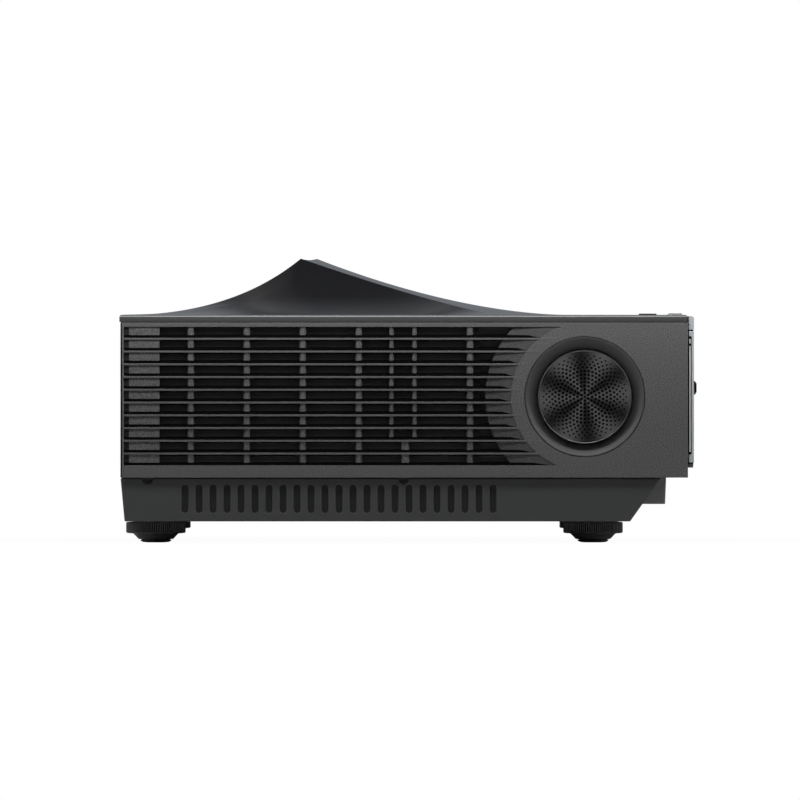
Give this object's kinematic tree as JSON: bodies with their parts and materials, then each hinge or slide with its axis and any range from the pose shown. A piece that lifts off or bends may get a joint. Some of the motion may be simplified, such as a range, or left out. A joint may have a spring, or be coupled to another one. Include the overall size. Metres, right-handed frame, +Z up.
{
  "type": "home projector",
  "caption": "Ultra-short-throw home projector: wide low case with swept hood and light recess, slotted sides with speakers, and screw feet.",
  "frame": {"origin": "middle of the overall footprint, on the surface the feet stand on", "axes": "+Z up, +X along the width, front faces -Y and the wall side faces +Y"},
  "size_m": [0.6, 0.3487, 0.1708],
  "materials": {
    "tub_plastic": "fine-grained matte",
    "front_box_plastic": "matte",
    "case_paint": "fine metallic speckle, satin",
    "ring_paint": "fine metallic speckle, satin",
    "spun_cap": "dark spun metal, perforated",
    "driver_black": "matte",
    "inner_plastic": "matte",
    "front_metal": "satin anodised",
    "strip_plastic": "matte",
    "sensor_gloss": "gloss",
    "lid_paint": "satin",
    "window_glass": "coated, clear",
    "button_gloss": "gloss",
    "foot_plastic": "matte",
    "foot_rubber": "matte",
    "brass": "machined",
    "mirror_coat": "polished",
    "steel": "zinc plated",
    "cast_aluminium": "cast",
    "laser_copper": "machined",
    "diffuser_coat": "frosted",
    "circuit_board": "satin solder mask",
    "socket_black": "matte"
  },
  "bodies": {
    "case": {"base_tub": "tub_plastic", "front_lower_box": "front_box_plastic", "left_side_panel": "case_paint", "right_side_panel": "case_paint", "rear_panel": "case_paint", "left_speaker_ring": "ring_paint", "right_speaker_ring": "ring_paint", "left_speaker_cap": "spun_cap", "right_speaker_cap": "spun_cap", "left_speaker_driver": "driver_black", "right_speaker_driver": "driver_black", "left_speaker_box": "inner_plastic", "right_speaker_box": "inner_plastic", "left_vent_louver": "inner_plastic", "right_vent_louver": "inner_plastic", "front_frame": "inner_plastic", "lens_well": "inner_plastic", "left_fan_frame": "inner_plastic", "right_fan_frame": "inner_plastic", "front_grille": "front_metal", "front_trim_cap": "front_metal", "top_trim_bar": "front_metal", "front_foot_strip": "strip_plastic", "socket_plate": "strip_plastic", "sensor_window": "sensor_gloss", "top_cover": "lid_paint", "lens_window": "window_glass", "left_front_foot_bush": "brass", "left_rear_foot_bush": "brass", "right_front_foot_bush": "brass", "right_rear_foot_bush": "brass", "aspheric_mirror": "mirror_coat", "mirror_bracket": "steel", "focus_motor": "steel", "projection_lens": "cast_aluminium", "light_engine": "cast_aluminium", "laser_heatsink": "cast_aluminium", "laser_module": "laser_copper", "main_board": "circuit_board", "power_supply_board": "circuit_board", "dmd_board": "circuit_board", "button_switch_board": "circuit_board", "lan_socket": "socket_black", "usb_socket": "socket_black", "hdmi_socket": "socket_black", "ac_inlet": "socket_black"},
    "power_button": {"power_button": "button_gloss"},
    "left_fan_rotor": {"left_fan_rotor": "inner_plastic"},
    "right_fan_rotor": {"right_fan_rotor": "inner_plastic"},
    "diffuser_wheel": {"diffuser_wheel": "diffuser_coat"},
    "focus_ring": {"focus_ring": "inner_plastic"},
    "focus_pinion": {"focus_pinion": "brass"},
    "left_front_pad": {"left_front_foot_pad": "foot_rubber"},
    "left_front_wheel": {"left_front_foot_wheel": "foot_plastic"},
    "left_rear_pad": {"left_rear_foot_pad": "foot_rubber"},
    "left_rear_wheel": {"left_rear_foot_wheel": "foot_plastic"},
    "right_front_pad": {"right_front_foot_pad": "foot_rubber"},
    "right_front_wheel": {"right_front_foot_wheel": "foot_plastic"},
    "right_rear_pad": {"right_rear_foot_pad": "foot_rubber"},
    "right_rear_wheel": {"right_rear_foot_wheel": "foot_plastic"}
  },
  "joints": [
    {"name": "left_front_foot_travel", "type": "slide", "parent": "case", "child": "left_front_pad", "axis": [0, 0, -1], "range_m": [0, 0.008]},
    {"name": "left_front_foot_turn", "type": "hinge", "parent": "left_front_pad", "child": "left_front_wheel", "pos_m": [-0.262, -0.1111, 0.009], "axis": [0, 0, -1], "range_deg": [0, 2300]},
    {"name": "left_rear_foot_travel", "type": "slide", "parent": "case", "child": "left_rear_pad", "axis": [0, 0, -1], "range_m": [0, 0.008]},
    {"name": "left_rear_foot_turn", "type": "hinge", "parent": "left_rear_pad", "child": "left_rear_wheel", "pos_m": [-0.262, 0.1516, 0.009], "axis": [0, 0, -1], "range_deg": [0, 2300]},
    {"name": "right_front_foot_travel", "type": "slide", "parent": "case", "child": "right_front_pad", "axis": [0, 0, -1], "range_m": [0, 0.008]},
    {"name": "right_front_foot_turn", "type": "hinge", "parent": "right_front_pad", "child": "right_front_wheel", "pos_m": [0.262, -0.1111, 0.009], "axis": [0, 0, -1], "range_deg": [0, 2300]},
    {"name": "right_rear_foot_travel", "type": "slide", "parent": "case", "child": "right_rear_pad", "axis": [0, 0, -1], "range_m": [0, 0.008]},
    {"name": "right_rear_foot_turn", "type": "hinge", "parent": "right_rear_pad", "child": "right_rear_wheel", "pos_m": [0.262, 0.1516, 0.009], "axis": [0, 0, -1], "range_deg": [0, 2300]},
    {"name": "power_press", "type": "slide", "parent": "case", "child": "power_button", "axis": [0, 0, -1], "range_m": [0, 0.0008], "stiffness_N_per_m": 600},
    {"name": "left_fan_spin", "type": "hinge", "parent": "case", "child": "left_fan_rotor", "pos_m": [-0.2705, 0.1, 0.087], "axis": [-1, 0, 0], "continuous": true},
    {"name": "right_fan_spin", "type": "hinge", "parent": "case", "child": "right_fan_rotor", "pos_m": [0.2705, 0.1, 0.087], "axis": [1, 0, 0], "continuous": true},
    {"name": "diffuser_spin", "type": "hinge", "parent": "case", "child": "diffuser_wheel", "pos_m": [0.17575, 0.134, 0.088], "axis": [1, 0, 0], "continuous": true},
    {"name": "focus_pinion_spin", "type": "hinge", "parent": "case", "child": "focus_pinion", "pos_m": [0.0409, 0.099, 0.092], "axis": [0, 1, 0], "range_deg": [-94, 94]},
    {"name": "focus_turn", "type": "hinge", "parent": "case", "child": "focus_ring", "pos_m": [0, 0.099, 0.092], "axis": [0, 1, 0], "range_deg": [-15, 15]}
  ],
  "couplings": [
    {"joint": "left_front_foot_travel", "follows": "left_front_foot_turn", "m_per_rad": 0.00019894},
    {"joint": "left_rear_foot_travel", "follows": "left_rear_foot_turn", "m_per_rad": 0.00019894},
    {"joint": "right_front_foot_travel", "follows": "right_front_foot_turn", "m_per_rad": 0.00019894},
    {"joint": "right_rear_foot_travel", "follows": "right_rear_foot_turn", "m_per_rad": 0.00019894},
    {"joint": "focus_turn", "follows": "focus_pinion_spin", "ratio": -0.15909}
  ]
}
